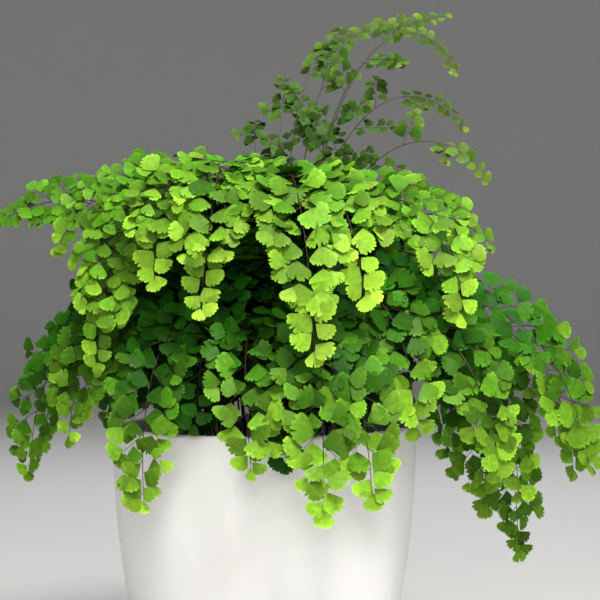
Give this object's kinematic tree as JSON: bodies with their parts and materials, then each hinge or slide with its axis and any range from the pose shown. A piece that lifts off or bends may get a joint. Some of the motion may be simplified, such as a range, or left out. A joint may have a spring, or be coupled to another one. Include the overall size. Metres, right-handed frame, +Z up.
{
  "type": "potted maidenhair fern",
  "caption": "Maidenhair fern in a tapered white glazed pot: arching fronds of small fan-shaped leaflets on thin dark stalks rise from potting soil.",
  "frame": {"origin": "centre of the pot's flat underside, on the pot's axis", "axes": "+Z up along the pot's axis, -Y towards the side the plant is viewed from, +X to that viewer's right"},
  "size_m": [0.3505, 0.2733, 0.3885],
  "materials": {
    "pot_glaze": "gloss",
    "potting_soil": "matte",
    "leaf_canopy": "satin",
    "leaf_skirt": "satin",
    "leaf_middle": "satin",
    "leaf_inner": "satin",
    "leaf_spray": "satin",
    "stalk": "gloss"
  },
  "bodies": {
    "root": {"pot": "pot_glaze", "soil": "potting_soil", "canopy_frond_01": "leaf_canopy", "canopy_frond_02": "leaf_canopy", "canopy_frond_03": "leaf_canopy", "canopy_frond_04": "leaf_canopy", "canopy_frond_05": "leaf_canopy", "canopy_frond_06": "leaf_canopy", "canopy_frond_07": "leaf_canopy", "canopy_frond_08": "leaf_canopy", "canopy_frond_09": "leaf_canopy", "canopy_frond_10": "leaf_canopy", "canopy_frond_11": "leaf_canopy", "canopy_frond_12": "leaf_canopy", "canopy_frond_13": "leaf_canopy", "canopy_frond_14": "leaf_canopy", "canopy_frond_15": "leaf_canopy", "skirt_frond_16": "leaf_skirt", "skirt_frond_17": "leaf_skirt", "skirt_frond_18": "leaf_skirt", "skirt_frond_19": "leaf_skirt", "skirt_frond_20": "leaf_skirt", "skirt_frond_21": "leaf_skirt", "skirt_frond_22": "leaf_skirt", "skirt_frond_23": "leaf_skirt", "skirt_frond_24": "leaf_skirt", "skirt_frond_25": "leaf_skirt", "skirt_frond_26": "leaf_skirt", "skirt_frond_27": "leaf_skirt", "skirt_frond_28": "leaf_skirt", "skirt_frond_29": "leaf_skirt", "skirt_frond_30": "leaf_skirt", "skirt_frond_31": "leaf_skirt", "skirt_frond_32": "leaf_skirt", "skirt_frond_33": "leaf_skirt", "skirt_frond_34": "leaf_skirt", "middle_frond_35": "leaf_middle", "middle_frond_36": "leaf_middle", "middle_frond_37": "leaf_middle", "middle_frond_38": "leaf_middle", "middle_frond_39": "leaf_middle", "middle_frond_40": "leaf_middle", "middle_frond_41": "leaf_middle", "middle_frond_42": "leaf_middle", "inner_frond_43": "leaf_inner", "inner_frond_44": "leaf_inner", "inner_frond_45": "leaf_inner", "inner_frond_46": "leaf_inner", "inner_frond_47": "leaf_inner", "inner_frond_48": "leaf_inner", "inner_frond_49": "leaf_inner", "inner_frond_50": "leaf_inner", "spray_frond_51": "leaf_spray", "spray_frond_52": "leaf_spray", "spray_frond_53": "leaf_spray", "spray_frond_54": "leaf_spray", "spray_frond_55": "leaf_spray", "spray_frond_56": "leaf_spray", "spray_frond_57": "leaf_spray", "spray_frond_58": "leaf_spray"}
  },
  "joints": []
}
